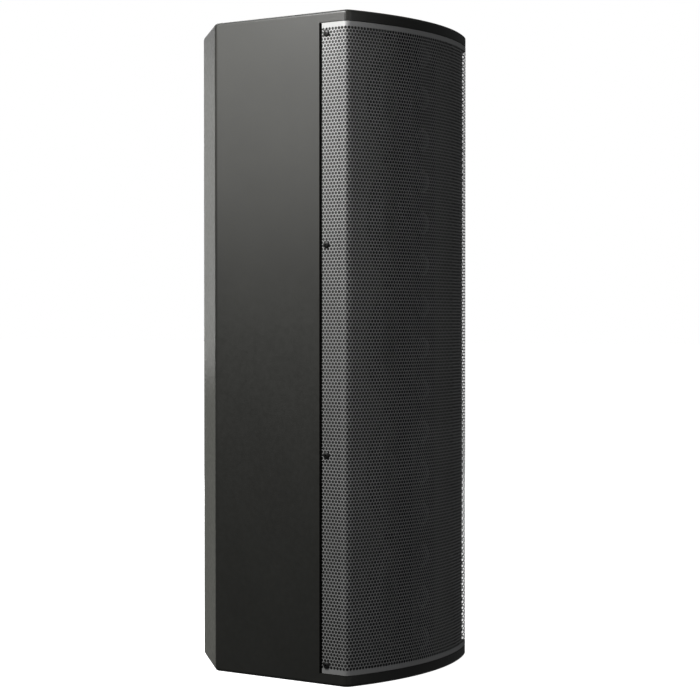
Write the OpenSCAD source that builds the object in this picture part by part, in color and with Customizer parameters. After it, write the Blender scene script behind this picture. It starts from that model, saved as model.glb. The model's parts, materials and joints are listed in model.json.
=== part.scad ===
// Self-powered column line array speaker with a curved perforated front.
// The front faces -Y, +Z is up and the origin is under the middle of the box.

/* [Cabinet] */
// Height over the top and bottom panels
body_h = 850; // [840:1:900]
// Width across the side panels
body_w = 292; // [286:1:300]
// Depth from the crown of the curved front to the rear face
body_d = 334; // [330:1:350]
// Rise of the curved front over its side corners
front_bulge = 32; // [30:1:36]
// Width of the rear face between the angled corners
rear_w = 104; // [102:1:112]
// Thickness of the upright boards
board_t = 15; // [14:1:16]
// Thickness of the top and bottom panels
end_t = 14; // [13:1:16]
// Rounding of the upright corners
corner_r = 10; // [8:0.5:11]
// Rounding of the top and bottom edges
edge_r = 4; // [3:0.5:5]

/* [Grille] */
// Outer radius of the fold between the front and each flange
fold_r = 7; // [6:0.5:8]
// Thickness of the perforated sheet
grille_t = 1.2; // [1:0.1:1.5]
// Gap between the grille and each end panel
grille_gap = 0.8; // [0.6:0.1:1.2]
// Depth of the folded side flanges
flange_d = 38; // [36:1:40]
// Groove between a flange and the side panel
groove_w = 4; // [3:0.5:5]
// Height of the lowest grille screws
grille_screw_low = 25.5; // [24:0.5:30]
// Spacing of the grille screws
grille_screw_pitch = 265.5; // [260:0.5:270]

/* [Woofers] */
// Number of woofers in the column
woofer_count = 5; // [5:1:5]
// Spacing of the woofers
woofer_pitch = 163; // [161:1:164]
// Outer radius of a woofer's frame
frame_r = 80; // [79:0.5:80]
// Radius of a cone's outer edge
cone_r = 61; // [58:0.5:61]
// Radius of the voice coil former
coil_r = 19.5; // [18:0.5:20]

/* [High frequency line] */
// Number of dome tweeters for each woofer
domes_per_woofer = 3; // [3:1:3]
// Radius of a tweeter's dome
dome_r = 12.7; // [12:0.1:13]
// Width of the bar that carries the tweeters
bar_w = 56; // [54:1:60]

/* [Amplifier] */
// Width of the amplifier tray behind its flange
tray_w = 74; // [74:1:76]
// Height of the amplifier tray behind its flange
tray_h = 418; // [410:1:430]
// Depth of the recesses in the tray
tray_depth = 47; // [45:1:48]
// Height of the connector recess
io_h = 154; // [150:1:156]

/* [Rigging] */
// Nominal radius of the end inserts' thread
end_insert_r = 5; // [4:0.5:5]
// Spacing of the end inserts from side to side
end_insert_x = 180; // [160:5:190]
// Spacing of the end inserts from front to rear
end_insert_y = 120; // [100:5:125]
// Nominal radius of the rear inserts' thread
rear_insert_r = 4; // [3:0.5:4]
// Spacing of the rear inserts, both ways
rear_insert_pitch = 70; // [60:5:70]
// Height of the lower rear pattern's middle, and the upper one's below the top
rear_insert_z = 110; // [100:5:120]

/* [Hidden] */
$fn = 64;
eps = 0.05;

// Plan of the box: the front arc's radius and centre, and the baffle's place.
half_w = body_w / 2;
half_d = body_d / 2;
front_r = (half_w * half_w + front_bulge * front_bulge) / (2 * front_bulge);
front_cy = front_r - half_d;
arc_steps = 40;
inner_h = body_h - 2 * end_t;
baffle_y = front_bulge + 14 - half_d;
baffle_back = baffle_y + board_t;
flange_y = front_bulge + flange_d - half_d;
flange_gap = 0.2;
rebate = 2;
groove_depth = 6;
grille_screw_y = flange_y - 7;
grille_screw_z = [for (i = [0:3]) grille_screw_low + i * grille_screw_pitch];

// Woofer stations along the axis of a driver, measured forward of the baffle.
mid_woofer = (woofer_count - 1) / 2;
woofer_z = [for (i = [0:woofer_count - 1]) body_h / 2 + (i - mid_woofer) * woofer_pitch];
basket_r = 73;
baffle_hole_r = basket_r + 0.5;
frame_t = 3;
surround_out_r = 71;
screw_circle_r = 75.5;
spider_r = 52;
spider_w = -32.5;
basket_depth = 51;
plate_t = 6;
magnet_t = 14;
magnet_r = 45;
pole_r = coil_r - 1.2;
gap_r = coil_r + 1.2;
yoke_w = -basket_depth - plate_t - magnet_t;

// High frequency line: its front plate and the domes' heights.
dome_count = woofer_count * domes_per_woofer;
dome_pitch = woofer_pitch / domes_per_woofer;
dome_z = [for (i = [0:dome_count - 1]) body_h / 2 + (i - (dome_count - 1) / 2) * dome_pitch];
bar_y = 10 - half_d;
bar_depth = 21;
bar_t = 3;
faceplate_r = 20;
pot_r = 16;
bracket_z = [
    end_t + 6,
    for (i = [0:woofer_count - 2]) woofer_z[i] + woofer_pitch / 2,
    body_h - end_t - 6
];

// Amplifier: the tray hangs in the back panel's cut-out behind a flush flange.
tray_wall = 2;
tray_z = body_h / 2 - tray_h / 2;
flange_w = tray_w + 17;
flange_h = tray_h + 21;
flange_in = 4;
tray_face = half_d - flange_in + tray_wall;
floor_y = tray_face - tray_depth;
recess_w = tray_w - 2 * tray_wall;
io_z = tray_z + tray_wall;
sink_z = io_z + io_h + 6;
sink_h = tray_h - io_h - 6 - 2 * tray_wall;
tray_screw_x = flange_w / 2 - 3.5;
tray_screw_z = [for (i = [0:5]) body_h / 2 + (i - 2.5) * (tray_h + 2) / 5];

// Connector places on the tray's floor, as x and z.
inlet_at = [0, io_z + 24];
switch_at = [0, io_z + 54];
xlr_at = [-17, io_z + 92];
jack_at = [[17, io_z + 82], [17, io_z + 101]];
jack_h = 18.9;
plate_seam_z = io_z + 66;
knob_at = [-19, io_z + 132];
button_at = [3, io_z + 132];
lens_at = [for (i = [0:2]) [15 + i * 6, io_z + 132]];
rocker_tilt = 9;

// Points that round the corner b between a and c, for an outline drawn anticlockwise.
function corner(a, b, c, r, steps = 5) =
    let (
        u = (a - b) / norm(a - b),
        v = (c - b) / norm(c - b),
        half = acos(u * v) / 2,
        centre = b + (u + v) / norm(u + v) * r / sin(half),
        start = b + u * r / tan(half) - centre,
        from = atan2(start.y, start.x)
    )
    [for (i = [0:steps]) let (t = from + (180 - 2 * half) * i / steps) centre + r * [cos(t), sin(t)]];

// Plan outline of the box, drawn in by inset all round.
function plan(inset = 0, round = corner_r) =
    let (
        hw = half_w - inset,
        hd = half_d - inset,
        diagonal = rear_w / 2 + half_d - inset * sqrt(2),
        r = front_r - inset,
        swing = asin(hw / r),
        arc = [for (i = [0:arc_steps]) let (t = swing * (2 * i / arc_steps - 1)) [r * sin(t), front_cy - r * cos(t)]],
        side = [hw, diagonal - hw],
        rear = [diagonal - hd, hd],
        flip = [[-1, 0], [0, 1]]
    )
    [
        each corner(flip * side, arc[0], arc[1], round),
        for (i = [1:arc_steps - 1]) arc[i],
        each corner(arc[arc_steps - 1], arc[arc_steps], side, round),
        each corner(arc[arc_steps], side, rear, round),
        each corner(side, rear, flip * rear, round),
        each corner(rear, flip * rear, flip * side, round),
        each corner(flip * rear, flip * side, arc[0], round)
    ];

// An upright board: the part of the wall's ring that lies in the region.
module wall_board(region)
    translate([0, 0, end_t])
        linear_extrude(inner_h)
            intersection() {
                difference() {
                    polygon(plan());
                    polygon(plan(board_t, 0.5));
                }
                polygon(region);
            }

// Corner of the plan between a side and an angled panel, k of the way in along the mitre.
function side_mitre(k) =
    let (diagonal = rear_w / 2 + half_d - k * board_t * sqrt(2), x = half_w - k * board_t) [x, diagonal - x];
function rear_mitre(k) =
    let (diagonal = rear_w / 2 + half_d - k * board_t * sqrt(2), y = half_d - k * board_t) [diagonal - y, y];

// A box centred on x and z that reaches from one depth to another.
module block(at, size, y0, y1)
    translate([at.x - size.x / 2, y0, at.y - size.y / 2])
        cube([size.x, y1 - y0, size.y]);

// A round bar along the depth.
module rod(at, r, y0, y1)
    translate([at.x, y0, at.y])
        rotate([-90, 0, 0])
            cylinder(r = r, h = y1 - y0);

module at_woofer(i) translate([0, baffle_y, woofer_z[i]]) rotate([90, 0, 0]) children();
module at_domes() for (z = dome_z) translate([0, bar_y, z]) rotate([90, 0, 0]) children();
module every_woofer() for (i = [0:woofer_count - 1]) at_woofer(i) children();

// A ring between two radii and two stations.
module ring(r_in, r_out, w0, w1)
    translate([0, 0, w0])
        difference() {
            cylinder(r = r_out, h = w1 - w0);
            translate([0, 0, -1]) cylinder(r = r_in, h = w1 - w0 + 2);
        }

// Places of the rigging inserts.
module end_insert_places() for (x = [-1, 1], y = [-1, 1]) translate([x * end_insert_x / 2, y * end_insert_y / 2, 0]) children();
module rear_insert_places()
    for (z = [rear_insert_z, body_h - rear_insert_z], x = [-1, 1], dz = [-1, 1])
        translate([x * rear_insert_pitch / 2, half_d, z + dz * rear_insert_pitch / 2])
            rotate([90, 0, 0])
                children();

// Threaded insert with a flange, mouth up at z = 0.
module insert_body(r, length)
    difference() {
        union() {
            translate([0, 0, -length]) cylinder(r = r + 1.8, h = length);
            translate([0, 0, -1.5]) cylinder(r = r + 3.5, h = 1.5);
        }
        translate([0, 0, -length - 1]) cylinder(r = r, h = length + 2);
    }
module insert_hole(r, length) {
    translate([0, 0, -length - 1]) cylinder(r = r + 1.8 + eps, h = length + 2);
    translate([0, 0, -1.5 - eps]) cylinder(r = r + 3.5 + eps, h = 3);
}

// End panel lying on z = 0 with its upper edge rounded: one ring of points for each level.
module end_panel_blank() {
    rings = [
        plan(),
        for (a = [0:22.5:90]) plan(edge_r * (1 - cos(a)), corner_r - edge_r / 2 * (1 - cos(a)))
    ];
    levels = [0, for (a = [0:22.5:90]) end_t - edge_r * (1 - sin(a))];
    n = len(rings[0]);
    last = len(rings) - 1;
    polyhedron(
        points = [for (k = [0:last], p = rings[k]) [p.x, p.y, levels[k]]],
        faces = [
            [for (i = [0:n - 1]) i],
            [for (i = [n - 1:-1:0]) last * n + i],
            for (k = [0:last - 1], i = [0:n - 1]) let (j = (i + 1) % n)
                [k * n + i, (k + 1) * n + i, (k + 1) * n + j, k * n + j]
        ]
    );
}

module end_panel()
    difference() {
        end_panel_blank();
        translate([0, 0, end_t]) end_insert_places() insert_hole(end_insert_r, end_t);
    }

module top_panel() color("#1d1d1c") translate([0, 0, body_h - end_t]) end_panel();
module bottom_panel() color("#1d1d1c") translate([0, 0, end_t]) mirror([0, 0, 1]) end_panel();

// Side panel with the rebate for the grille's flange and the groove behind it.
module side_panel_right()
    color("#2b2b29")
        difference() {
            wall_board([
                [half_w - board_t - 3, baffle_y], [half_w + 3, baffle_y],
                side_mitre(-0.2), side_mitre(1.2)
            ]);
            translate([half_w - rebate, baffle_y - 1, end_t - 1])
                cube([rebate + 1, flange_y - baffle_y + 1, inner_h + 2]);
            translate([half_w - groove_depth, flange_y, end_t - 1])
                cube([groove_depth + 1, groove_w, inner_h + 2]);
            for (z = grille_screw_z)
                translate([half_w - board_t - 1, grille_screw_y, z])
                    rotate([0, 90, 0])
                        cylinder(r = 1.9 + eps, h = board_t + 2);
        }
module side_panel_left() mirror([1, 0, 0]) side_panel_right();

module angled_panel_right()
    color("#2b2b29")
        wall_board([side_mitre(1.2), side_mitre(-0.2), rear_mitre(-0.2) + [20, 0], rear_mitre(-0.2), rear_mitre(1.2)]);
module angled_panel_left() mirror([1, 0, 0]) angled_panel_right();

// Back panel with the amplifier's cut-out and the rebate for its flange.
module back_panel()
    color("#2b2b29")
        difference() {
            wall_board([
                [-rear_mitre(-0.2).x, rear_mitre(-0.2).y], [-rear_mitre(1.2).x, rear_mitre(1.2).y],
                rear_mitre(1.2), rear_mitre(-0.2)
            ]);
            block([0, body_h / 2], [tray_w + 2, tray_h + 2], half_d - board_t - 1, half_d + 1);
            block([0, body_h / 2], [flange_w + 1, flange_h + 1], half_d - flange_in - 1, half_d + 1);
            for (x = [-1, 1], z = tray_screw_z)
                rod([x * tray_screw_x, z], 1.9 + eps, half_d - board_t - 1, half_d);
            rear_insert_places() mirror([0, 0, 1]) insert_hole(rear_insert_r, board_t);
        }

module baffle()
    color("#33312c")
        difference() {
            translate([-half_w + board_t, baffle_y, end_t]) cube([body_w - 2 * board_t, board_t, inner_h]);
            every_woofer() {
                translate([0, 0, -board_t - 1]) cylinder(r = baffle_hole_r, h = board_t + 2);
                for (a = [22.5:45:359]) rotate(a)
                    translate([screw_circle_r, 0, -board_t - 1]) cylinder(r = 1.9 + eps, h = board_t + 2);
            }
        }

// Horizontal braces between the woofers, open in the middle and at the amplifier.
module shelf_braces()
    color("#8a6f4a")
        for (i = [0:woofer_count - 2])
            translate([0, 0, woofer_z[i] + woofer_pitch / 2 - 5])
                linear_extrude(10)
                    difference() {
                        intersection() {
                            polygon(plan(board_t, 0.5));
                            translate([-half_w, baffle_back]) square([body_w, body_d]);
                        }
                        translate([-88, baffle_back + 30]) square([176, 120]);
                        translate([-44, 0]) square([88, body_d]);
                    }

// Wadding on the side walls of each bay.
module damping_pads()
    color("#b9b4a6")
        for (s = [-1, 1], z = woofer_z)
            translate([s * (half_w - board_t - 10), -5, z])
                cube([20 - 2 * eps, 130, 146], center = true);

module threaded_inserts()
    color("#a8a8a4") {
        translate([0, 0, body_h]) end_insert_places() insert_body(end_insert_r, end_t);
        mirror([0, 0, 1]) end_insert_places() insert_body(end_insert_r, end_t);
        rear_insert_places() mirror([0, 0, 1]) insert_body(rear_insert_r, board_t);
    }

// Curved sheet with a folded flange at each side.
module grille()
    color("#3c3c3b")
        difference() {
            translate([0, 0, end_t + grille_gap])
                linear_extrude(inner_h - 2 * grille_gap)
                    intersection() {
                        difference() {
                            polygon(plan(flange_gap, fold_r));
                            polygon(plan(flange_gap + grille_t, fold_r - grille_t));
                        }
                        translate([-half_w, -half_d]) square([body_w, flange_y + half_d]);
                    }
            for (z = grille_screw_z)
                translate([-half_w - 1, grille_screw_y, z]) rotate([0, 90, 0]) cylinder(r = 2.3, h = body_w + 2);
        }

// Button head screws along both flanges.
module grille_screws()
    color("#141414")
        for (s = [0, 1], z = grille_screw_z)
            mirror([s, 0, 0])
                translate([half_w - flange_gap, grille_screw_y, z])
                    rotate([0, 90, 0])
                        rotate_extrude()
                            polygon([
                                [0, -14], [1.9, -14], [1.9, 0], [4.7, 0],
                                for (a = [0:15:75]) [4.7 * cos(a), 0.3 + 1.9 * sin(a)],
                                [1.3, 2.2], [1.3, 0.8], [0, 0.8]
                            ]);

// Foam strips that keep the grille from rattling on the baffle's edges.
module grille_gaskets()
    color("#222222")
        for (s = [-1, 1])
            translate([s * (half_w - board_t / 2 - 1), baffle_y - 5.5, body_h / 2])
                cube([9, 11 - 2 * eps, inner_h - 2], center = true);

// Cast frame: flange, ribbed basket and the shelf for the spider.
module woofer_frames()
    color("#262626")
        every_woofer()
            difference() {
                rotate_extrude()
                    polygon([
                        [66, 0.6], [66, frame_t], [frame_r, frame_t], [frame_r, 0], [basket_r - 0.5, 0],
                        [55.6, -37], [47, -basket_depth], [gap_r + 1.5, -basket_depth], [gap_r + 1.5, -basket_depth + 3],
                        [45, -basket_depth + 3], [49, -38], [spider_r - 6, -38], [spider_r - 6, -35],
                        [53.2, -35]
                    ]);
                for (a = [0:60:359]) rotate(a + 30) {
                    translate([66, 0, -18]) rotate([0, 25, 0]) cube([26, 38, 26], center = true);
                    translate([50, 0, -43]) rotate([0, 32, 0]) cube([16, 26, 7], center = true);
                }
                for (a = [22.5:45:359]) rotate(a)
                    translate([screw_circle_r, 0, -1]) cylinder(r = 2.2, h = frame_t + 2);
            }

module woofer_gaskets()
    color("#1b1b1b") every_woofer() ring(66.5, surround_out_r + 0.4, frame_t + 0.8 + eps, frame_t + 3);

module woofer_screws()
    color("#181818")
        every_woofer()
            for (a = [22.5:45:359]) rotate(a) translate([screw_circle_r, 0, 0]) {
                translate([0, 0, -board_t + 1]) cylinder(r = 1.9, h = board_t + frame_t);
                difference() {
                    translate([0, 0, frame_t]) cylinder(r = 3.6, h = 2.2);
                    translate([0, 0, frame_t + 1]) cylinder(r = 1.5, h = 2, $fn = 6);
                }
            }

// Rubber half-roll between the cone and the frame.
module woofer_surrounds()
    color("#161616")
        every_woofer()
            rotate_extrude()
                polygon([
                    for (a = [180:-15:0]) [64 + 2.4 * cos(a), 3.8 + 4.4 * sin(a)],
                    [surround_out_r, frame_t + 0.8], [surround_out_r, frame_t + eps],
                    for (a = [0:15:180]) [64 + 1.6 * cos(a), 3.0 + 4.0 * sin(a)]
                ]);

// Corrugated disc that centres the voice coil.
module woofer_spiders()
    color("#b08a3c")
        every_woofer() {
            crests = [for (i = [0:10]) let (r = coil_r + 1.4 + (spider_r - coil_r - 4) * i / 10) [r, i % 2 == 0 ? -0.9 : 0.9]];
            rotate_extrude()
                polygon([
                    for (p = crests) [p.x, spider_w + p.y + 0.35],
                    [spider_r, spider_w - 1.7], [spider_r, spider_w - 2.4],
                    for (i = [10:-1:0]) [crests[i].x, spider_w + crests[i].y - 0.35]
                ]);
        }

module woofer_top_plates()
    color("#9a9a98") every_woofer() ring(gap_r, magnet_r - 3, -basket_depth - plate_t, -basket_depth);

module woofer_magnets()
    color("#3a3836") every_woofer() ring(gap_r + 4, magnet_r, yoke_w, -basket_depth - plate_t);

// Back plate and pole piece with a vent hole.
module woofer_yokes()
    color("#9a9a98")
        every_woofer()
            difference() {
                union() {
                    translate([0, 0, yoke_w - plate_t]) cylinder(r = magnet_r - 3, h = plate_t);
                    translate([0, 0, yoke_w]) cylinder(r = pole_r, h = -basket_depth - yoke_w + 1);
                }
                translate([0, 0, yoke_w - plate_t - 1]) cylinder(r = 5, h = plate_t + magnet_t + plate_t + 4);
            }

// Paper cone with a lip under the surround, and its dust cap.
module cone_shape() {
    neck_w = -26;
    rim_w = -3;
    rotate_extrude()
        polygon([
            [coil_r + 0.1, neck_w],
            for (i = [0:6]) let (k = i / 6)
                [coil_r + 1.2 + (cone_r - coil_r - 1.2) * k, neck_w + (rim_w - neck_w) * (1.25 * k - 0.25 * k * k) + 0.5],
            [cone_r, rim_w - 0.4],
            for (i = [6:-1:0]) let (k = i / 6)
                [coil_r + 1.2 + (cone_r - coil_r - 1.2) * k, neck_w + (rim_w - neck_w) * (1.25 * k - 0.25 * k * k) - 0.5],
            [coil_r + 0.1, neck_w - 1]
        ]);
    cap_r = coil_r + 6;
    cap_w = neck_w + 5.1;
    cap_rise = 9;
    sphere_r = (cap_r * cap_r + cap_rise * cap_rise) / (2 * cap_rise);
    rotate_extrude()
        polygon([
            for (i = [0:6]) let (t = asin(cap_r / sphere_r) * (1 - i / 6))
                [sphere_r * sin(t), cap_w + cap_rise - sphere_r * (1 - cos(t))],
            for (i = [6:-1:0]) let (t = asin(cap_r / sphere_r) * (1 - i / 6))
                [sphere_r * sin(t), cap_w + cap_rise - sphere_r * (1 - cos(t)) - 0.7]
        ]);
}
module cone(i) color("#2a2a2c") at_woofer(i) cone_shape();
module cone_1() cone(0);
module cone_2() cone(1);
module cone_3() cone(2);
module cone_4() cone(3);
module cone_5() cone(4);

// Former tube glued in the cone's neck, with the winding in the magnet's gap.
module voice_coil(i)
    color("#b5652a")
        at_woofer(i) {
            ring(coil_r - 0.4, coil_r, -basket_depth - plate_t - 3, -20.5);
            ring(coil_r, coil_r + 0.6, -basket_depth - plate_t - 3, -basket_depth + 3);
        }
module voice_coil_1() voice_coil(0);
module voice_coil_2() voice_coil(1);
module voice_coil_3() voice_coil(2);
module voice_coil_4() voice_coil(3);
module voice_coil_5() voice_coil(4);

// Channel that holds the tweeters in front of the woofers.
module hf_bar()
    color("#202020")
        difference() {
            translate([-bar_w / 2, bar_y, end_t + 1]) cube([bar_w, bar_depth, inner_h - 2]);
            translate([-bar_w / 2 + bar_t, bar_y + bar_t, end_t]) cube([bar_w - 2 * bar_t, bar_depth, inner_h]);
            at_domes() {
                translate([0, 0, -bar_t - 1]) cylinder(r = pot_r + 0.4, h = bar_t + 2);
                for (s = [-1, 1]) translate([0, s * 18, -bar_t - 1]) cylinder(r = 1.05, h = bar_t + 2);
            }
        }

// Cross pieces that stand the channel off the baffle between the woofers.
module hf_brackets()
    color("#2c2c2c")
        for (z = bracket_z) {
            block([0, z], [bar_w + 24, 10], bar_y + bar_depth, bar_y + bar_depth + 3);
            for (s = [-1, 1]) block([s * 35.5, z], [8, 10], bar_y + bar_depth, baffle_y);
        }

module hf_faceplates()
    color("#191919")
        at_domes()
            difference() {
                cylinder(r = faceplate_r, h = 2.6);
                translate([0, 0, -1]) cylinder(r = dome_r + 0.5, h = 5);
                translate([0, 0, 0.8]) cylinder(r1 = dome_r + 0.5, r2 = dome_r + 3.5, h = 1.9);
                for (s = [-1, 1]) translate([0, s * 18, -1]) cylinder(r = 1.05, h = 5);
            }

// Magnet pot with the ring gap for a dome's former.
module hf_magnets()
    color("#8f8f8c")
        at_domes()
            difference() {
                translate([0, 0, -15]) cylinder(r = pot_r, h = 15);
                ring(dome_r - 0.9, dome_r + 0.5, -9, 1);
                translate([0, 0, -1]) cylinder(r = dome_r - 0.8, h = 2);
            }

module hf_screws()
    color("#101010")
        at_domes()
            for (s = [-1, 1]) translate([0, s * 18, 0]) {
                translate([0, 0, -bar_t]) cylinder(r = 1, h = bar_t + 2.6);
                translate([0, 0, 2.6]) cylinder(r = 1.8, h = 1.1);
            }

// Soft domes with their formers.
module hf_domes()
    color("#232326")
        at_domes() {
            rise = 4.4;
            sphere_r = (dome_r * dome_r + rise * rise) / (2 * rise);
            rotate_extrude()
                polygon([
                    for (i = [0:6]) let (t = asin(dome_r / sphere_r) * (1 - i / 6))
                        [sphere_r * sin(t), rise - sphere_r * (1 - cos(t)) + 0.4],
                    for (i = [6:-1:0]) let (t = asin(dome_r / sphere_r) * (1 - i / 6))
                        [(sphere_r - 0.4) * sin(t), rise - sphere_r * (1 - cos(t)) + 0.1]
                ]);
            ring(dome_r - 0.4, dome_r, -7, 0.6);
        }

// Flanged frame with a connector recess below and a heatsink recess above.
module amp_tray()
    color("#2e2e2e")
        difference() {
            union() {
                block([0, body_h / 2], [flange_w, flange_h], half_d - flange_in, tray_face);
                block([0, body_h / 2], [tray_w, tray_h], floor_y, tray_face);
            }
            block([0, io_z + io_h / 2], [recess_w, io_h], floor_y - 1, half_d);
            block([0, sink_z + sink_h / 2], [recess_w, sink_h], floor_y - 1, half_d);
            for (x = [-1, 1], z = tray_screw_z) rod([x * tray_screw_x, z], 2.2, half_d - board_t, half_d);
        }

// Upper part of the floor of both recesses, with the signal sockets and the controls.
module chassis_plate()
    color("#2e2e2e")
        difference() {
            block(
                [0, (plate_seam_z + tray_z + tray_h) / 2], [tray_w, tray_z + tray_h - plate_seam_z],
                floor_y - tray_wall, floor_y
            );
            rod(xlr_at, 12 + eps, floor_y - 4, floor_y + 1);
            block(xlr_at + [0, 13.4], [9.6, 3.6], floor_y - 4, floor_y + 1);
            block((jack_at[0] + jack_at[1]) / 2, [16.1, jack_h + 19.1], floor_y - 4, floor_y + 1);
            rod(knob_at, 3.3, floor_y - 4, floor_y + 1);
            rod(button_at, 3.3, floor_y - 4, floor_y + 1);
            for (at = lens_at) rod(at, 1.6 + eps, floor_y - 4, floor_y + 1);
            for (x = [-1, 1]) rod(xlr_at + [x * 9.5, -x * 12], 1.5 + eps, floor_y - 4, floor_y + 1);
        }

// Lower part of the floor, with the mains inlet and switch.
module power_plate()
    color("#2e2e2e")
        difference() {
            block(
                [0, (tray_z + plate_seam_z) / 2], [tray_w, plate_seam_z - tray_z],
                floor_y - tray_wall, floor_y
            );
            block(inlet_at, [28, 20.5], floor_y - 4, floor_y + 1);
            block(switch_at, [19.6, 13.2], floor_y - 4, floor_y + 1);
            for (x = [-1, 1]) rod(inlet_at + [x * 20, 0], 1.5 + eps, floor_y - 4, floor_y + 1);
        }

module tray_gasket()
    color("#151515")
        difference() {
            block([0, body_h / 2], [flange_w, flange_h], half_d - flange_in - 1, half_d - flange_in);
            block([0, body_h / 2], [tray_w + 1, tray_h + 1], half_d - flange_in - 2, half_d);
            for (x = [-1, 1], z = tray_screw_z) rod([x * tray_screw_x, z], 2.2, half_d - board_t, half_d);
        }

module tray_screws()
    color("#121212")
        for (x = [-1, 1], z = tray_screw_z)
            difference() {
                union() {
                    rod([x * tray_screw_x, z], 1.9, half_d - board_t + 1, tray_face);
                    rod([x * tray_screw_x, z], 3.3, tray_face, half_d - 0.3);
                }
                rod([x * tray_screw_x, z], 1.2, half_d - 1.2, half_d);
            }

// Extruded heatsink with upright fins.
module heatsink()
    color("#1c1c1c") {
        fin_count = 9;
        union() {
            block([0, sink_z + sink_h / 2], [recess_w - 2, sink_h - 6], floor_y, floor_y + 5);
            for (i = [0:fin_count - 1])
                block(
                    [(i / (fin_count - 1) - 0.5) * (recess_w - 4), sink_z + sink_h / 2],
                    [2, sink_h - 6], floor_y + 4, tray_face - 1
                );
        }
    }

// Pillars between the tray's floor and the circuit boards.
board_w = 66;
power_board_y = floor_y - 32;
amp_board_y = floor_y - 12;
module standoff_places(z0, z1) for (x = [-1, 1], z = [z0 + 6, z1 - 6]) translate([x * (board_w / 2 - 4), 0, z]) children();
module board_standoffs()
    color("#c9b458") {
        standoff_places(io_z, io_z + io_h) rod([0, 0], 2.5, power_board_y, floor_y - tray_wall);
        standoff_places(sink_z, sink_z + sink_h) rod([0, 0], 2.5, amp_board_y, floor_y - tray_wall);
    }

// Power amplifier board: output chokes, filter capacitors and a driver chip for each channel.
module amp_board()
    color("#1d4d2c") {
        block([0, sink_z + sink_h / 2], [board_w, sink_h], amp_board_y - 1.6, amp_board_y);
        for (i = [0:4]) {
            z = sink_z + sink_h * (i + 0.5) / 5;
            block([-16, z], [22, 22], amp_board_y - 17, amp_board_y - 1.6);
            rod([8, z], 6, amp_board_y - 21, amp_board_y - 1.6);
            block([23, z], [12, 12], amp_board_y - 4, amp_board_y - 1.6);
        }
    }

// Switching supply: transformer and bulk capacitors.
module power_board()
    color("#1d4d2c") {
        block([0, io_z + io_h / 2], [board_w, io_h], power_board_y - 1.6, power_board_y);
        block([0, io_z + io_h * 0.62], [42, 40], power_board_y - 30, power_board_y - 1.6);
        for (x = [-1, 1], z = [0.14, 0.36]) rod([x * 15, io_z + io_h * z], 11, power_board_y - 32, power_board_y - 1.6);
    }

// Small board with the level control, the preset switch and the indicators.
module control_board()
    color("#1d4d2c")
        difference() {
            union() {
                block([0, knob_at.y], [60, 18], floor_y - 13, floor_y - 11.4);
                rod(knob_at, 6, floor_y - 11.4, floor_y - 4);
                block(button_at, [7, 7], floor_y - 11.4, floor_y - 8);
                for (at = lens_at) rod(at, 1.4, floor_y - 11.4, floor_y - 5);
            }
            rod(knob_at, 3.05, floor_y - 10, floor_y);
        }

// Mains inlet with three blades.
module power_inlet()
    color("#111111") {
        difference() {
            union() {
                block(inlet_at, [50, 24], floor_y, floor_y + 2.4);
                block(inlet_at, [27.6, 20.1], floor_y - 18, floor_y + 2.4);
            }
            block(inlet_at, [24.2, 16.4], floor_y - 15, floor_y + 4);
            for (x = [-1, 1]) rod(inlet_at + [x * 20, 0], 1.5 + eps, floor_y - 1, floor_y + 4);
        }
        for (at = [[-7, -2], [0, 2], [7, -2]]) block(inlet_at + at, [2, 4], floor_y - 15.5, floor_y - 3);
    }

module switch_bezel()
    color("#131313")
        difference() {
            union() {
                block(switch_at, [22, 15.6], floor_y, floor_y + 1.6);
                block(switch_at, [19.4, 13], floor_y - 17, floor_y + 1.6);
            }
            block(switch_at, [18, 11.6], floor_y - 12, floor_y + 3);
        }

// Rocker with a shallow V face, at rest with its left half pressed.
module power_rocker()
    color("#1a1a1a")
        translate([switch_at.x, floor_y + 0.5, switch_at.y - 5.4])
            rotate(rocker_tilt)
                linear_extrude(10.8)
                    polygon([[-7.9, -3], [-7.9, 1.9], [0, 0.6], [7.9, 1.9], [7.9, -3], [3, -5], [-3, -5]]);

// Metal shell of the balanced signal input, with its ring gap for a plug's sleeve.
module signal_input()
    color("#2a2a2a") {
        difference() {
            union() {
                block(xlr_at, [26, 31], floor_y, floor_y + 2);
                rod(xlr_at, 12, floor_y - 18, floor_y + 3);
            }
            rod(xlr_at, 9.8, floor_y - 15, floor_y + 4);
            block(xlr_at + [0, 13.4], [9.2, 3.2], floor_y - 19, floor_y + 4);
            for (x = [-1, 1]) rod(xlr_at + [x * 9.5, -x * 12], 1.5 + eps, floor_y - 1, floor_y + 4);
        }
    }

module input_insert()
    color("#0f0f0f")
        difference() {
            rod(xlr_at, 8, floor_y - 15, floor_y + 1);
            for (a = [90, 210, 330]) rod(xlr_at + 3.9 * [cos(a), sin(a)], 1.25, floor_y - 12, floor_y + 2);
        }

// Thumb tab that frees the plug.
module input_latch()
    color("#3a3a3a") block(xlr_at + [0, 13.4], [8.4, 2.4], floor_y - 6, floor_y + 4.6);

module connector_screws()
    color("#8d8d8a")
        for (x = [-1, 1]) {
            rod(inlet_at + [x * 20, 0], 1.5, floor_y - 6, floor_y + 2.4);
            rod(inlet_at + [x * 20, 0], 2.8, floor_y + 2.4, floor_y + 4);
            rod(xlr_at + [x * 9.5, -x * 12], 1.5, floor_y - 6, floor_y + 2);
            rod(xlr_at + [x * 9.5, -x * 12], 2.4, floor_y + 2, floor_y + 3.4);
        }

// Two network sockets, latch slot upwards.
module network_jacks()
    color("#b9b9b6")
        for (at = jack_at)
            difference() {
                block(at, [16, jack_h], floor_y - 16, floor_y + 0.8);
                block(at - [0, 1], [11.9, 8.2], floor_y - 13, floor_y + 2);
                block(at + [0, 4], [6.2, 2.6], floor_y - 13, floor_y + 2);
            }

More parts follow.
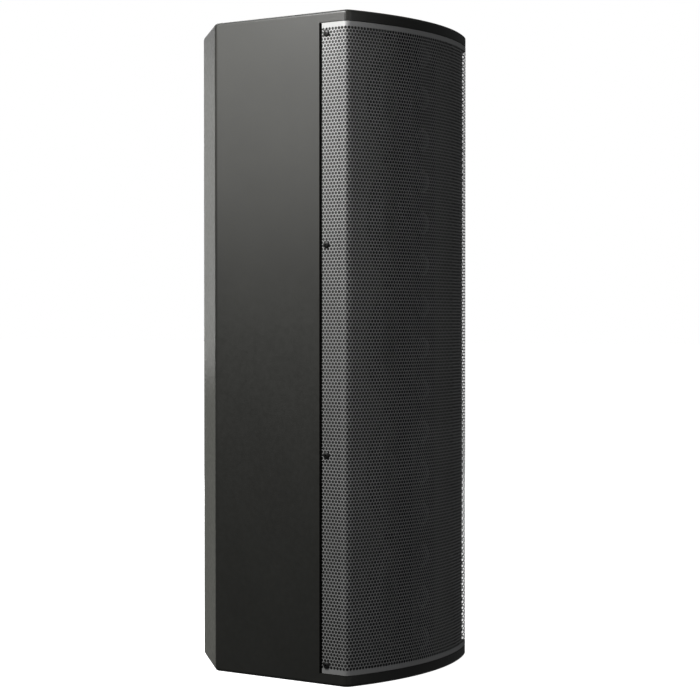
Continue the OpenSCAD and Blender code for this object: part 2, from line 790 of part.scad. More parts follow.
// Knob with a pointer groove and a shaft that runs in the level control.
module level_knob()
    color("#161616")
        difference() {
            union() {
                rod(knob_at, 6, floor_y + 1, floor_y + 10);
                rod(knob_at, 3, floor_y - 9, floor_y + 2);
            }
            block(knob_at + [0, 4], [1.2, 5], floor_y + 9, floor_y + 11);
        }

module preset_button()
    color("#4a4a48")
        union() {
            rod(button_at, 2.9, floor_y - 4, floor_y + 3);
            rod(button_at, 1.5, floor_y - 6.4, floor_y - 3);
        }

module status_lenses()
    color("#3ec46a") for (at = lens_at) rod(at, 1.6, floor_y - 4, floor_y + 0.8);

top_panel();
bottom_panel();
side_panel_left();
side_panel_right();
angled_panel_left();
angled_panel_right();
back_panel();
baffle();
shelf_braces();
damping_pads();
threaded_inserts();
grille();
grille_screws();
grille_gaskets();
woofer_frames();
woofer_gaskets();
woofer_screws();
woofer_surrounds();
woofer_spiders();
woofer_magnets();
woofer_top_plates();
woofer_yokes();
cone_1();
cone_2();
cone_3();
cone_4();
cone_5();
voice_coil_1();
voice_coil_2();
voice_coil_3();
voice_coil_4();
voice_coil_5();
hf_bar();
hf_brackets();
hf_faceplates();
hf_magnets();
hf_screws();
hf_domes();
amp_tray();
chassis_plate();
power_plate();
tray_gasket();
tray_screws();
heatsink();
board_standoffs();
amp_board();
power_board();
control_board();
power_inlet();
switch_bezel();
power_rocker();
signal_input();
input_insert();
input_latch();
connector_screws();
network_jacks();
level_knob();
preset_button();
status_lenses();
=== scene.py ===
"""Looks of a column line array speaker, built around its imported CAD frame. Everything is in metres."""
import json
import math

import bmesh
import bpy
import numpy as np
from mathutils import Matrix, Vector


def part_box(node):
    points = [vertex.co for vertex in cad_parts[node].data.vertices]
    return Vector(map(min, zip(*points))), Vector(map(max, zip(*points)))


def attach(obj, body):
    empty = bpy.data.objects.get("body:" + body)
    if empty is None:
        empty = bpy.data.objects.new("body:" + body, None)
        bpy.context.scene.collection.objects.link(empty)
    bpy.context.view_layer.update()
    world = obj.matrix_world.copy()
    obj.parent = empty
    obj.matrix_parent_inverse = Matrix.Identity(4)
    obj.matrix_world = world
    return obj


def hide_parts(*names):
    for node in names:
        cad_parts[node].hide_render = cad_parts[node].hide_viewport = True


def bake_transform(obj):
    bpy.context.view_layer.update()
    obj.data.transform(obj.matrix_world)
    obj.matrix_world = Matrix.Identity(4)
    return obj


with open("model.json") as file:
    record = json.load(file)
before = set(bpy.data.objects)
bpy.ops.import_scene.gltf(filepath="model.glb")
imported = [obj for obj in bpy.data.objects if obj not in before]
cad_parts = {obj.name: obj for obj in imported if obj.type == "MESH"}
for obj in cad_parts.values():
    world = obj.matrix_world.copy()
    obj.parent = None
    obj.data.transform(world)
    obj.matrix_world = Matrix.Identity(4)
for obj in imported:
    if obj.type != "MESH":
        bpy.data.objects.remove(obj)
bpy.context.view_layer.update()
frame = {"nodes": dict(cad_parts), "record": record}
NODES = frame["nodes"]
SCENE = bpy.context.scene


# ---------------------------------------------------------------- camera

CAMERA_AT = (-2.1265, -1.4780, 0.4616)
CAMERA_TURN = -55.955
CAMERA_DIP = 0.9
CAMERA_LENS = 98.4

camera = bpy.data.objects.new("camera", bpy.data.cameras.new("camera"))
camera.data.lens = CAMERA_LENS
camera.data.sensor_width = 36
camera.location = CAMERA_AT
camera.rotation_euler = (math.radians(90 - CAMERA_DIP), 0, math.radians(CAMERA_TURN))
SCENE.collection.objects.link(camera)
SCENE.camera = camera
SCENE.view_settings.view_transform = "Standard"


# ---------------------------------------------------------------- materials

class Nodes:
    """A material's node tree, with short calls for the nodes that every finish uses."""

    def __init__(self, name):
        self.material = bpy.data.materials.new(name)
        self.material.use_nodes = True
        self.tree = self.material.node_tree
        self.shader = self.tree.nodes["Principled BSDF"]
        self.place = self.add("ShaderNodeTexCoord").outputs["Object"]

    def add(self, kind, **settings):
        node = self.tree.nodes.new(kind)
        for key, value in settings.items():
            setattr(node, key, value)
        return node

    def join(self, output, socket):
        self.tree.links.new(output, socket)

    def noise(self, scale, detail=3.0, rough=0.55, stretch=(1, 1, 1)):
        """Noise from 0 to 1, with scale features for each metre.

        A stretch below 1 draws them out along that axis.
        """
        place = self.add("ShaderNodeMapping")
        place.inputs["Scale"].default_value = stretch
        self.join(self.place, place.inputs["Vector"])
        node = self.add("ShaderNodeTexNoise")
        node.inputs["Scale"].default_value = scale
        node.inputs["Detail"].default_value = detail
        node.inputs["Roughness"].default_value = rough
        self.join(place.outputs["Vector"], node.inputs["Vector"])
        return node.outputs["Fac"]

    def cells(self, scale):
        """Distance from the middle of the nearest of many small cells."""
        node = self.add("ShaderNodeTexVoronoi")
        node.inputs["Scale"].default_value = scale
        self.join(self.place, node.inputs["Vector"])
        return node.outputs["Distance"]

    def bands(self, scale, axis, bend=0.0):
        """Parallel waves from 0 to 1 across an axis."""
        node = self.add("ShaderNodeTexWave", wave_type="BANDS", bands_direction=axis)
        node.inputs["Scale"].default_value = scale
        node.inputs["Distortion"].default_value = bend
        self.join(self.place, node.inputs["Vector"])
        return node.outputs["Fac"]

    def spread(self, value, low, high, start=0.3, end=0.7):
        """value, which mostly lies from start to end, mapped to low to high."""
        node = self.add("ShaderNodeMapRange")
        node.inputs["From Min"].default_value = start
        node.inputs["From Max"].default_value = end
        node.inputs["To Min"].default_value = low
        node.inputs["To Max"].default_value = high
        self.join(value, node.inputs["Value"])
        return node.outputs["Result"]

    def product(self, a, b):
        node = self.add("ShaderNodeMath", operation="MULTIPLY")
        self.join(a, node.inputs[0])
        self.join(b, node.inputs[1])
        return node.outputs["Value"]

    def colour(self, value, dark, light, start=0.3, end=0.7):
        """Base colour that runs from dark to light as value runs from start to end."""
        ramp = self.add("ShaderNodeValToRGB")
        ramp.color_ramp.elements[0].position = start
        ramp.color_ramp.elements[1].position = end
        ramp.color_ramp.elements[0].color = (*dark, 1)
        ramp.color_ramp.elements[1].color = (*light, 1)
        self.join(value, ramp.inputs["Fac"])
        self.join(ramp.outputs["Color"], self.shader.inputs["Base Color"])

    def roughness(self, value, low, high, start=0.3, end=0.7):
        self.join(self.spread(value, low, high, start, end), self.shader.inputs["Roughness"])

    def bump(self, value, depth, strength=1.0):
        """Relief of this depth in metres."""
        node = self.add("ShaderNodeBump")
        node.inputs["Strength"].default_value = strength
        node.inputs["Distance"].default_value = depth
        self.join(value, node.inputs["Height"])
        self.join(node.outputs["Normal"], self.shader.inputs["Normal"])

    def set(self, **values):
        """Values for the shader's own sockets, named in small letters with underscores."""
        for key, value in values.items():
            self.shader.inputs[key.replace("_", " ").title()].default_value = value


def textured_paint():
    """Cabinet's tough black coat, with a fine orange peel."""
    n = Nodes("textured_paint")
    n.colour(n.noise(9, 4), (0.020, 0.020, 0.018), (0.024, 0.024, 0.0216))
    n.roughness(n.noise(160, 3), 0.32, 0.40)
    n.bump(n.noise(620, 2), 0.00012, 0.35)
    return n.material


def powder_coat():
    """Grille's smooth grey powder coat."""
    n = Nodes("powder_coat")
    n.colour(n.noise(14, 3), (0.30, 0.30, 0.298), (0.34, 0.34, 0.338))
    n.roughness(n.noise(240, 2), 0.42, 0.50)
    n.set(metallic=0.25)
    return n.material


def metal(name, dark, light, low, high, relief=0.00002, grain=(1, 1, 1)):
    """Bare or plated metal with fine grain."""
    n = Nodes(name)
    n.colour(n.noise(60, 4, stretch=grain), dark, light)
    n.roughness(n.noise(900, 2, stretch=grain), low, high)
    n.bump(n.noise(1500, 2, stretch=grain), relief, 0.4)
    n.set(metallic=1.0)
    return n.material


def coated(name, dark, light, low, high, scale=900, relief=0.00006, metallic=0.0):
    """Painted, anodised or moulded surface with a fine grain."""
    n = Nodes(name)
    n.colour(n.noise(40, 4), dark, light)
    n.roughness(n.noise(scale / 3, 2), low, high)
    n.bump(n.noise(scale, 2), relief, 0.4)
    n.set(metallic=metallic)
    return n.material


def foam():
    n = Nodes("foam")
    n.colour(n.cells(1400), (0.012, 0.012, 0.012), (0.045, 0.045, 0.045), 0.0, 0.5)
    n.roughness(n.noise(300), 0.85, 1.0)
    n.bump(n.cells(1400), 0.0004, 0.8)
    return n.material


def wadding():
    """Matted polyester fibre."""
    n = Nodes("wadding")
    n.colour(n.noise(120, 8, 0.75), (0.38, 0.36, 0.32), (0.62, 0.60, 0.55))
    n.roughness(n.noise(200), 0.9, 1.0)
    n.bump(n.noise(380, 8, 0.8), 0.002, 0.9)
    n.set(sheen_weight=0.4)
    return n.material


def plywood():
    """Birch plywood: plies along Z, grain along X."""
    n = Nodes("plywood")
    plies = n.bands(210, "Z", 0.4)
    grain = n.noise(90, 6, 0.7, (0.08, 1, 1))
    both = n.product(n.spread(plies, 0.65, 1.0, 0, 1), n.spread(grain, 0.7, 1.0))
    n.colour(both, (0.20, 0.12, 0.055), (0.56, 0.40, 0.23), 0.4, 1.0)
    n.roughness(grain, 0.55, 0.75)
    n.bump(grain, 0.0002, 0.5)
    return n.material


def cone_paper():
    """Pressed black pulp with long fibres."""
    n = Nodes("cone_paper")
    n.colour(n.noise(260, 6, 0.7), (0.022, 0.022, 0.025), (0.055, 0.055, 0.06))
    n.roughness(n.noise(500), 0.6, 0.8)
    n.bump(n.noise(700, 6, 0.7), 0.0003, 0.7)
    return n.material


def woven(name, dark, light, pitch, relief):
    """Plain weave with its two thread directions along X and Z."""
    n = Nodes(name)
    warp = n.bands(0.314 / pitch, "X")
    weft = n.bands(0.314 / pitch, "Z")
    n.colour(n.product(n.spread(warp, 0.5, 1, 0, 1), n.spread(weft, 0.5, 1, 0, 1)), dark, light, 0.25, 1.0)
    n.roughness(n.noise(300), 0.7, 0.9)
    n.bump(n.product(warp, weft), relief, 0.7)
    n.set(sheen_weight=0.3)
    return n.material


def winding():
    """Varnished copper wire wound round the coil."""
    n = Nodes("winding")
    turns = n.bands(900, "Y")
    n.colour(turns, (0.32, 0.11, 0.03), (0.72, 0.34, 0.14), 0, 1)
    n.roughness(n.noise(300), 0.25, 0.4)
    n.bump(turns, 0.0002, 0.8)
    n.set(metallic=1.0, coat_weight=0.6, coat_roughness=0.15)
    return n.material


def circuit_board():
    """Green solder mask over copper tracks."""
    n = Nodes("circuit_board")
    bricks = n.add("ShaderNodeTexBrick")
    bricks.inputs["Scale"].default_value = 110
    bricks.inputs["Mortar Size"].default_value = 0.03
    bricks.inputs["Color1"].default_value = (0.012, 0.085, 0.030, 1)
    bricks.inputs["Color2"].default_value = (0.016, 0.105, 0.040, 1)
    bricks.inputs["Mortar"].default_value = (0.035, 0.20, 0.075, 1)
    turn = n.add("ShaderNodeMapping")
    turn.inputs["Rotation"].default_value = (math.radians(90), 0, 0)
    n.join(n.place, turn.inputs["Vector"])
    n.join(turn.outputs["Vector"], bricks.inputs["Vector"])
    n.join(bricks.outputs["Color"], n.shader.inputs["Base Color"])
    n.roughness(n.noise(200), 0.25, 0.4)
    n.bump(bricks.outputs["Fac"], 0.0001, 0.5)
    return n.material


def lens():
    n = Nodes("lens")
    n.colour(n.noise(300), (0.05, 0.42, 0.12), (0.10, 0.60, 0.20))
    n.roughness(n.noise(500), 0.08, 0.16)
    n.set(coat_weight=0.5, coat_roughness=0.05)
    return n.material


PAINT = textured_paint()
GRILLE_COAT = powder_coat()
PLYWOOD = plywood()
WADDING = wadding()
FOAM = foam()
ZINC = metal("zinc", (0.46, 0.46, 0.44), (0.60, 0.60, 0.58), 0.25, 0.4)
NICKEL = metal("nickel", (0.52, 0.50, 0.47), (0.62, 0.60, 0.56), 0.15, 0.28)
BRASS = metal("brass", (0.55, 0.42, 0.16), (0.72, 0.58, 0.26), 0.25, 0.4)
BLACK_STEEL = coated("black_steel", (0.01, 0.01, 0.01), (0.02, 0.02, 0.02), 0.28, 0.42, 1200, 0.00003, 0.4)
ANODISED = coated("anodised", (0.020, 0.020, 0.021), (0.032, 0.032, 0.034), 0.35, 0.5, 1600, 0.00003, 0.6)
CASTING = coated("casting", (0.018, 0.018, 0.018), (0.035, 0.035, 0.035), 0.45, 0.62, 500, 0.0002, 0.3)
TRAY_COAT = coated("tray_coat", (0.050, 0.050, 0.052), (0.066, 0.066, 0.068), 0.4, 0.55, 700, 0.0001, 0.2)
PLATE_COAT = coated("plate_coat", (0.125, 0.125, 0.130), (0.150, 0.150, 0.156), 0.4, 0.55, 700, 0.0001, 0.2)
RUBBER = coated("rubber", (0.012, 0.012, 0.012), (0.024, 0.024, 0.024), 0.5, 0.68, 600, 0.00006)
FERRITE = coated("ferrite", (0.030, 0.028, 0.026), (0.060, 0.056, 0.052), 0.6, 0.8, 800, 0.0001)
PLASTIC = coated("plastic", (0.012, 0.012, 0.012), (0.020, 0.020, 0.020), 0.42, 0.55, 1800, 0.00005)
GLOSS_PLASTIC = coated("gloss_plastic", (0.01, 0.01, 0.01), (0.016, 0.016, 0.016), 0.14, 0.24, 900, 0.00001)
GREY_PLASTIC = coated("grey_plastic", (0.40, 0.40, 0.39), (0.46, 0.46, 0.45), 0.4, 0.5, 1800, 0.00004)
CONE_PAPER = cone_paper()
SPIDER_CLOTH = woven("spider_cloth", (0.22, 0.12, 0.03), (0.58, 0.38, 0.13), 0.0007, 0.0002)
DOME_SILK = woven("dome_silk", (0.012, 0.012, 0.014), (0.045, 0.045, 0.050), 0.0004, 0.00006)
COPPER = winding()
BOARD = circuit_board()
LENS = lens()


# ---------------------------------------------------------------- mesh helpers

# a mesh with more faces than this is left without flattened faces
FINE_MESH = 20000


def flatten_broad_faces(mesh, ratio=6):
    """Shades a face flat where it is far broader than its smooth neighbours, so it isn't lit as a curve."""
    work = bmesh.new()
    work.from_mesh(mesh)
    for face in work.faces:
        beside = [f.calc_area() for e in face.edges if e.smooth for f in e.link_faces if f is not face]
        face.smooth = not beside or face.calc_area() < ratio * min(beside)
    work.to_mesh(mesh)
    work.free()


def show(name, mesh, material, body, smooth=35):
    """Links a mesh as a piece that rides a body, or no body where none is given.

    Edges sharper than smooth degrees stay crisp.
    """
    mesh.materials.clear()
    mesh.materials.append(material)
    mesh.shade_smooth()
    mesh.set_sharp_from_angle(angle=math.radians(smooth))
    if len(mesh.polygons) < FINE_MESH:
        flatten_broad_faces(mesh)
    piece = bpy.data.objects.new(name, mesh)
    SCENE.collection.objects.link(piece)
    if body:
        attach(piece, body)
    return piece


BODY_OF = {node: body for body, nodes in frame["record"]["behaviour"]["bodies"].items() for node in nodes}


def refine(node, material, bevel=0.0, segments=2, angle=40):
    """Stands a welded copy in place of a CAD node, with edges sharper than angle degrees bevelled."""
    mesh = NODES[node].data.copy()
    mesh.name = node + "_fine"
    work = bmesh.new()
    work.from_mesh(mesh)
    bmesh.ops.remove_doubles(work, verts=work.verts, dist=2e-6)
    bmesh.ops.dissolve_limit(work, angle_limit=math.radians(0.3), verts=work.verts, edges=work.edges)
    if bevel:
        limit = math.radians(angle)
        sharp = [e for e in work.edges if len(e.link_faces) == 2 and e.calc_face_angle(0) > limit]
        bmesh.ops.bevel(
            work, geom=sharp, offset=bevel, segments=segments, profile=0.5, affect="EDGES",
            clamp_overlap=True
        )
    work.to_mesh(mesh)
    work.free()
    piece = show(node + "_fine", mesh, material, BODY_OF[node])
    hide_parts(node)
    return piece


# ---------------------------------------------------------------- perforated grille

HOLE_PITCH = 0.0047625
HOLE_R = 0.003969 / 2
ROW_PITCH = HOLE_PITCH * math.sqrt(3) / 2
ROWS = 196
# thinner than the CAD sheet, so that light comes through the holes at a glancing angle
SHEET_T = 0.00015
SHEET_INSET = 0.0002
FRONT_BULGE = 0.032
FOLD_R = 0.007
# the sheet is made as this many pieces, one above another
STRIPS = 5

GRILLE_LOW, GRILLE_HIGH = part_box("grille")
SHEET_BOTTOM = GRILLE_LOW.z
SHEET_TOP = GRILLE_HIGH.z
FLANGE_REAR = GRILLE_HIGH.y
TOP_LOW, TOP_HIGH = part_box("top_panel")
HALF_W = TOP_HIGH.x
CROWN_Y = TOP_LOW.y
FRONT_R = (HALF_W**2 + FRONT_BULGE**2) / (2 * FRONT_BULGE)
ARC_Y = CROWN_Y + FRONT_R


class SheetPath:
    """Middle line of the bent sheet seen from above: flange, fold, front arc, fold, flange."""

    def __init__(self):
        inset = SHEET_INSET + SHEET_T / 2
        self.x = HALF_W - inset
        self.r = FRONT_R - inset
        self.swing = math.asin((self.x - FOLD_R) / (self.r - FOLD_R))
        self.fold_y = ARC_Y - (self.r - FOLD_R) * math.cos(self.swing)
        self.flange = FLANGE_REAR - self.fold_y
        self.fold = FOLD_R * (math.pi / 2 - self.swing)
        self.length = 2 * (self.flange + self.fold + self.r * self.swing)

    def at(self, s):
        """Points and outward normals, as four arrays, at distances s from the -X flange's rear edge."""
        side = np.where(s < self.length / 2, -1.0, 1.0)
        s = np.minimum(s, self.length - s)
        on_flange = s <= self.flange
        on_fold = s <= self.flange + self.fold
        turn = np.where(on_flange, 0, np.minimum((s - self.flange) / FOLD_R, math.pi / 2 - self.swing))
        arc = np.clip((self.length / 2 - s) / self.r, 0, self.swing)
        nx = np.where(on_fold, np.cos(turn), np.sin(arc))
        ny = np.where(on_fold, -np.sin(turn), -np.cos(arc))
        x = np.where(on_fold, self.x - FOLD_R + FOLD_R * nx, self.r * nx)
        y = np.where(on_fold, self.fold_y + FOLD_R * ny, ARC_Y + self.r * ny)
        y = np.where(on_flange, FLANGE_REAR - s, y)
        return side * x, y, side * nx, ny


def perforated_strip(path, columns, first, last):
    """Flat mesh of the sheet from row first up to row last, as (distance, height) points and faces.

    Each hole sits in a hexagon, and has twelve sides. The sheet's two ends get plain margins.
    """
    pitch = path.length / columns
    stretch = pitch / HOLE_PITCH
    shoulder = HOLE_PITCH / math.sqrt(3)
    corners = [math.radians(30 + 60 * q) for q in range(6)]
    middle = (SHEET_BOTTOM + SHEET_TOP) / 2
    index = {}
    flat = []
    faces = []

    def point(s, z):
        """Number of the point here, which neighbouring hexagons share."""
        key = (round(s * 1e6), round(z * 1e6))
        if key not in index:
            index[key] = len(flat)
            flat.append((s, z))
        return index[key]

    for row in range(first, last):
        z = middle + (row - (ROWS - 1) / 2) * ROW_PITCH
        shift = 0.5 if row % 2 else 0.0
        for column in range(columns + (row % 2 == 0)):
            s = (column + shift) * pitch
            reach = stretch * shoulder
            inside = [0 <= s + reach * math.cos(a + math.pi / 6) <= path.length for a in corners]
            hexagon = []
            for a in corners:
                at = s + reach * math.cos(a)
                on_sheet = -1e-6 <= at <= path.length + 1e-6
                hexagon.append(point(at, z + shoulder * math.sin(a)) if on_sheet else None)
            for q in range(6):
                if not inside[q]:
                    continue
                rim = [
                    point(s + HOLE_R * math.cos(a), z + HOLE_R * math.sin(a))
                    for a in (math.radians(30 * k) for k in (2 * q + 3, 2 * q + 2, 2 * q + 1))
                ]
                faces.append([hexagon[q], hexagon[(q + 1) % 6], *rim])
            for end_row, edge, tip in ((0, SHEET_BOTTOM, 4), (ROWS - 1, SHEET_TOP, 1)):
                if row != end_row:
                    continue
                for corner in (tip - 1, tip):
                    a = hexagon[corner]
                    b = hexagon[corner + 1]
                    if a is None or b is None:
                        continue
                    faces.append([b, a, point(flat[a][0], edge), point(flat[b][0], edge)])
    return flat, faces


def solid_sheet(path, flat, faces):
    """Gives the flat mesh its bend and thickness, with a wall along every open edge."""
    used = set()
    for face in faces:
        used.update(zip(face, face[1:] + face[:1]))
    rims = [(a, b) for a, b in used if (b, a) not in used]
    s, z = np.array(flat).T
    x, y, nx, ny = path.at(s)
    half = SHEET_T / 2
    outer = np.stack([x + nx * half, y + ny * half, z], 1)
    inner = np.stack([x - nx * half, y - ny * half, z], 1)
    n = len(flat)
    back = [[i + n for i in reversed(face)] for face in faces]
    walls = [[b, a, a + n, b + n] for a, b in rims]
    mesh = bpy.data.meshes.new("grille_sheet")
    mesh.from_pydata(np.concatenate([outer, inner]).tolist(), [], faces + back + walls)
    mesh.update()
    return mesh


def make_grille():
    path = SheetPath()
    columns = round(path.length / HOLE_PITCH)
    for i in range(STRIPS):
        flat, faces = perforated_strip(path, columns, i * ROWS // STRIPS, (i + 1) * ROWS // STRIPS)
        mesh = solid_sheet(path, flat, faces)
        piece = show(f"grille_sheet_{i + 1}", mesh, GRILLE_COAT, "cabinet")
        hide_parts("grille")


make_grille()


# ---------------------------------------------------------------- pieces drawn from the CAD nodes

SIDES = ("side_panel_left", "side_panel_right", "angled_panel_left", "angled_panel_right")
for node in (*SIDES, "back_panel", "top_panel", "bottom_panel"):
    refine(node, PAINT)

# node: (material, bevel in metres)
SOFTENED = {
    "baffle": (PAINT, 0.0004), "shelf_braces": (PLYWOOD, 0.0004), "grille_screws": (BLACK_STEEL, 0.0002),
    "grille_gaskets": (FOAM, 0.0012), "woofer_gaskets": (FOAM, 0.0005), "tray_gasket": (FOAM, 0.0002),
    "amp_tray": (TRAY_COAT, 0.0003), "chassis_plate": (PLATE_COAT, 0.0002),
    "power_plate": (PLATE_COAT, 0.0002), "heatsink": (ANODISED, 0.0002),
    "power_inlet": (PLASTIC, 0.0003), "switch_bezel": (PLASTIC, 0.0003),
    "power_rocker": (GLOSS_PLASTIC, 0.0004), "signal_input": (BLACK_STEEL, 0.0003),
    "input_latch": (BLACK_STEEL, 0.0002), "network_jacks": (NICKEL, 0.0002),
    "level_knob": (PLASTIC, 0.0004), "preset_button": (GREY_PLASTIC, 0.0003),
    "status_lenses": (LENS, 0.0003), "tray_screws": (BLACK_STEEL, 0.0002),
    "connector_screws": (ZINC, 0.0002), "woofer_frames": (CASTING, 0.0003),
    "woofer_magnets": (FERRITE, 0.0008), "woofer_top_plates": (ZINC, 0.0004),
    "woofer_yokes": (ZINC, 0.0004), "hf_magnets": (ZINC, 0.0004), "hf_bar": (ANODISED, 0.0004),
    "hf_brackets": (ANODISED, 0.0003), "hf_faceplates": (PLASTIC, 0.0003),
}
for node, (material, bevel) in SOFTENED.items():
    refine(node, material, bevel)

WOOFERS = range(1, 6)

# nodes that keep their CAD mesh
PLAIN = {
    "threaded_inserts": ZINC, "woofer_screws": BLACK_STEEL, "hf_screws": BLACK_STEEL,
    "hf_domes": DOME_SILK, "board_standoffs": BRASS,
    "amp_board": BOARD, "power_board": BOARD, "control_board": BOARD, "input_insert": PLASTIC,
    **{f"cone_{i}": CONE_PAPER for i in WOOFERS},
    **{f"voice_coil_{i}": COPPER for i in WOOFERS},
}
for node, material in PLAIN.items():
    NODES[node].data.materials.clear()
    NODES[node].data.materials.append(material)


# ---------------------------------------------------------------- soft and bending pieces

# the baffle's face, and the height of each woofer's axis
BAFFLE_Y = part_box("baffle")[0].y
WOOFER_Z = [sum(p.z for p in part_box(f"cone_{i}")) / 2 for i in WOOFERS]

# surround: radii of the roll's edges and of the lip, heights in front of the baffle, and the roll's
# rise outside and inside. Its inner edge stands 6 mm in front of the cone's rim, as in CAD.
ROLL_IN = 0.0614
ROLL_OUT = 0.0666
LIP_OUT = 0.0710
LIP_TOP = 0.0038
LIP_BOTTOM = 0.0031
ROLL_RISE = 0.0044
HOLLOW_RISE = 0.0040
RUBBER_T = 0.0008
# width of the roll's inner edge, added to the inner radius handed to follow_cone
EDGE_W = 0.0002

# spider: radii, height of its middle, thickness, rim, the neck at its inner edge, and waves
SPIDER_IN = 0.0207
SPIDER_OUT = 0.0520
SPIDER_W = -0.0325
SPIDER_T = 0.0005
SPIDER_RIM = 0.0030
RIM_DROP = 0.0018
NECK = 0.0015
WAVES = 5
WAVE_H = 0.0009


def lathed(name, profile, z):
    """Mesh of a closed profile of (radius, height in front of the baffle) turned about the axis at z."""
    sides = 96
    turns = [2 * math.pi * k / sides for k in range(sides)]
    verts = [(r * math.cos(t), BAFFLE_Y - w, z + r * math.sin(t)) for t in turns for r, w in profile]
    n = len(profile)
    faces = []
    for k in range(sides):
        for i in range(n):
            a, b = k * n + i, k * n + (i + 1) % n
            c, d = (k + 1) % sides * n + (i + 1) % n, (k + 1) % sides * n + i
            faces.append((a, d, c, b))
    mesh = bpy.data.meshes.new(name)
    mesh.from_pydata(verts, [], faces)
    mesh.update()
    return mesh


def follow_cone(piece, z, inner, outer):
    """Bakes a ring's placement into its mesh and works out each point's share of the way from its inner
    edge to its outer edge; the ring is not bent.
    """
    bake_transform(piece)
    points = np.array([v.co for v in piece.data.vertices])
    radius = np.hypot(points[:, 0], points[:, 2] - z)
    share = np.clip((radius - inner) / (outer - inner), 0, 1)
    share = share * share * (3 - 2 * share)


def make_surround(i, z):
    """Half roll of rubber with a flat lip round its outside."""
    steps = 15
    middle = (ROLL_IN + ROLL_OUT) / 2
    outer = (ROLL_OUT - ROLL_IN) / 2
    inner = outer - RUBBER_T
    swing = [math.pi * (1 - k / steps) for k in range(steps + 1)]
    crown = [(middle + outer * math.cos(t), LIP_TOP + ROLL_RISE * math.sin(t)) for t in swing]
    hollow = [(middle + inner * math.cos(t), LIP_BOTTOM + HOLLOW_RISE * math.sin(t)) for t in swing[::-1]]
    profile = [*crown, (LIP_OUT, LIP_TOP), (LIP_OUT, LIP_BOTTOM), *hollow]
    piece = show(f"surround_{i}", lathed(f"surround_{i}", profile, z), RUBBER, None)
    follow_cone(piece, z, ROLL_IN + EDGE_W, ROLL_OUT)
    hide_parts("woofer_surrounds")


def make_spider(i, z):
    """Corrugated cloth disc with a rim that steps down to the frame."""
    steps = 96
    span = SPIDER_OUT - SPIDER_RIM - SPIDER_IN
    line = [SPIDER_IN + span * k / steps for k in range(steps + 1)]
    wave = [WAVE_H * math.cos(2 * math.pi * WAVES * k / steps) for k in range(steps + 1)]
    upper = [(r, SPIDER_W - w + SPIDER_T / 2) for r, w in zip(line, wave)]
    lower = [(r, SPIDER_W - w - SPIDER_T / 2) for r, w in zip(line, wave)]
    rim = [(SPIDER_OUT, SPIDER_W - RIM_DROP), (SPIDER_OUT, SPIDER_W - RIM_DROP - SPIDER_T)]
    profile = [*upper, *rim, *reversed(lower)]
    piece = show(f"spider_{i}", lathed(f"spider_{i}", profile, z), SPIDER_CLOTH, None)
    follow_cone(piece, z, SPIDER_IN + NECK, SPIDER_OUT - SPIDER_RIM)
    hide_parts("woofer_spiders")


def make_pad(name, centre, size):
    """Pad of wadding: flat on the side board, and crowned with soft edges where it faces the woofer."""
    across = 44
    along = 48
    rim_share = 0.22
    crown_share = 0.74
    lump_h = 0.0012
    work = bmesh.new()
    rows = []
    for sign in (-1, 1):
        grid = []
        for i in range(across + 1):
            u = 2 * i / across - 1
            line = []
            for j in range(along + 1):
                v = 2 * j / along - 1
                edge = (1 - u**6) * (1 - v**6)
                lump = lump_h * math.sin(9 * u + 4 * centre[2]) * math.sin(7 * v + 1.3)
                puff = size[0] * (rim_share + crown_share * edge**0.45) + lump * edge
                x = 0 if sign * centre[0] > 0 else puff
                y, z = u * size[1] / 2, v * size[2] / 2
                line.append((x, y, z))
            grid.append(line)
        rows.append(grid)
    inward = -1 if centre[0] > 0 else 1
    face_x = centre[0] - inward * size[0] / 2
    sheets = []
    for grid in rows:
        sheet = []
        for line in grid:
            at = [(face_x + inward * x, centre[1] + y, centre[2] + z) for x, y, z in line]
            sheet.append([work.verts.new(p) for p in at])
        sheets.append(sheet)
    for sheet in sheets:
        for i in range(across):
            for j in range(along):
                work.faces.new((sheet[i][j], sheet[i + 1][j], sheet[i + 1][j + 1], sheet[i][j + 1]))
    first, second = sheets
    ring = [(i, 0) for i in range(across)] + [(across, j) for j in range(along)]
    ring += [(i, along) for i in range(across, 0, -1)] + [(0, j) for j in range(along, 0, -1)]
    for (a, b), (c, d) in zip(ring, ring[1:] + ring[:1]):
        work.faces.new((first[a][b], first[c][d], second[c][d], second[a][b]))
    bmesh.ops.recalc_face_normals(work, faces=work.faces)
    mesh = bpy.data.meshes.new(name)
    work.to_mesh(mesh)
    work.free()
    piece = show(name, mesh, WADDING, "cabinet", 60)
    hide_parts("damping_pads")


PAD_LOW, PAD_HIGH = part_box("damping_pads")
PAD_T = 0.020
PAD_H = 0.146
PAD_SPARE = 0.0002
PAD_SIZE = (PAD_T - PAD_SPARE, PAD_HIGH.y - PAD_LOW.y, PAD_H)
for i, z in zip(WOOFERS, WOOFER_Z):
    make_surround(i, z)
    make_spider(i, z)
    for side, x in (("left", PAD_LOW.x + PAD_T / 2), ("right", PAD_HIGH.x - PAD_T / 2)):
        make_pad(f"damping_pad_{side}_{i}", (x, (PAD_LOW.y + PAD_HIGH.y) / 2, z), PAD_SIZE)


# ---------------------------------------------------------------- stage and light

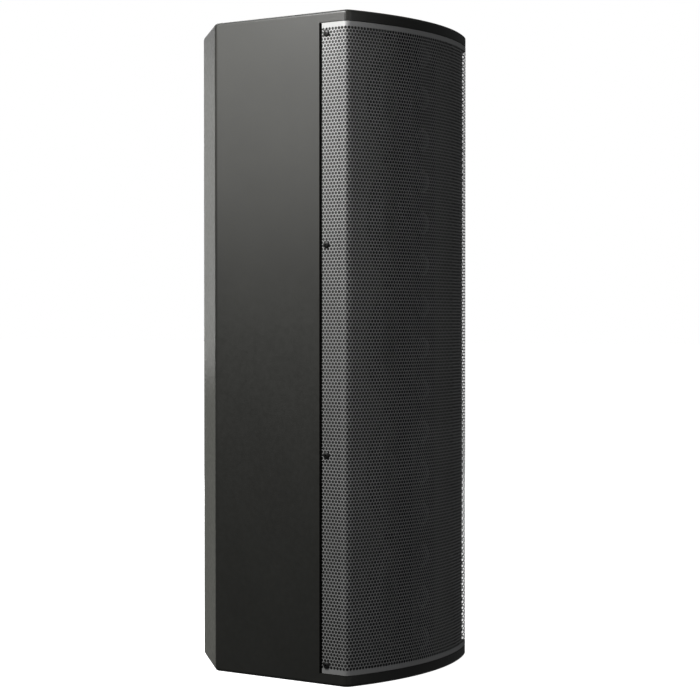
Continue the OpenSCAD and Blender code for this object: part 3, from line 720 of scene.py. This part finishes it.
def stage_floor():
    """White floor that is seen, but neither lights the object nor shows in its gloss."""
    mesh = bpy.data.meshes.new("floor")
    size = 30
    corners = [(-size, -size, 0), (size, -size, 0), (size, size, 0), (-size, size, 0)]
    mesh.from_pydata(corners, [], [(0, 1, 2, 3)])
    n = Nodes("floor")
    n.colour(n.noise(2), (0.86, 0.86, 0.86), (0.88, 0.88, 0.88))
    n.set(roughness=0.9, emission_color=(1, 1, 1, 1), emission_strength=1.0)
    mesh.materials.append(n.material)
    floor = bpy.data.objects.new("floor", mesh)
    SCENE.collection.objects.link(floor)
    floor.visible_glossy = False
    floor.visible_diffuse = False


def world_light():
    """White behind the object, and a dim, even glow for its light and reflections."""
    world = bpy.data.worlds.new("world")
    SCENE.world = world
    world.use_nodes = True
    tree = world.node_tree
    glow = tree.nodes["Background"]
    glow.inputs["Color"].default_value = (0.95, 0.98, 1.0, 1)
    glow.inputs["Strength"].default_value = 0.06
    white = tree.nodes.new("ShaderNodeBackground")
    white.inputs["Color"].default_value = (1, 1, 1, 1)
    white.inputs["Strength"].default_value = 1.0
    seen = tree.nodes.new("ShaderNodeLightPath")
    mix = tree.nodes.new("ShaderNodeMixShader")
    tree.links.new(seen.outputs["Is Camera Ray"], mix.inputs["Fac"])
    tree.links.new(glow.outputs["Background"], mix.inputs[1])
    tree.links.new(white.outputs["Background"], mix.inputs[2])
    tree.links.new(mix.outputs["Shader"], tree.nodes["World Output"].inputs["Surface"])


def soft_light(name, at, aim, size, power, colour=(1, 1, 1)):
    """Area light of this size in metres and power in watts, turned towards aim."""
    data = bpy.data.lights.new(name, "AREA")
    data.shape = "RECTANGLE"
    data.size, data.size_y = size
    data.energy = power
    data.color = colour
    light = bpy.data.objects.new(name, data)
    light.location = at
    light.rotation_euler = (Vector(aim) - Vector(at)).to_track_quat("-Z", "Y").to_euler()
    light.visible_camera = False
    SCENE.collection.objects.link(light)


stage_floor()
world_light()
soft_light("key", (-0.75, 0.10, 1.25), (-0.15, 0.10, 0.75), (0.5, 0.4), 14)
soft_light("side", (-1.4, 0.85, 1.18), (-0.15, 0, 0.85), (1.3, 1.0), 11.5, (1, 1, 0.96))
soft_light("back", (1.4, 2.0, 0.3), (0, 0, 0.3), (1.4, 1.7), 2.6, (1, 1, 0.88))
soft_light("front", (-0.6, -2.4, 0.7), (0, -0.1, 0.42), (1.4, 1.4), 7)
soft_light("right", (2.2, 2.0, 0.9), (0.1, 0, 0.4), (1.2, 1.2), 16)
soft_light("rear", (0.9, 1.7, 2.3), (0, 0.1, 0.4), (1.4, 1.0), 22)
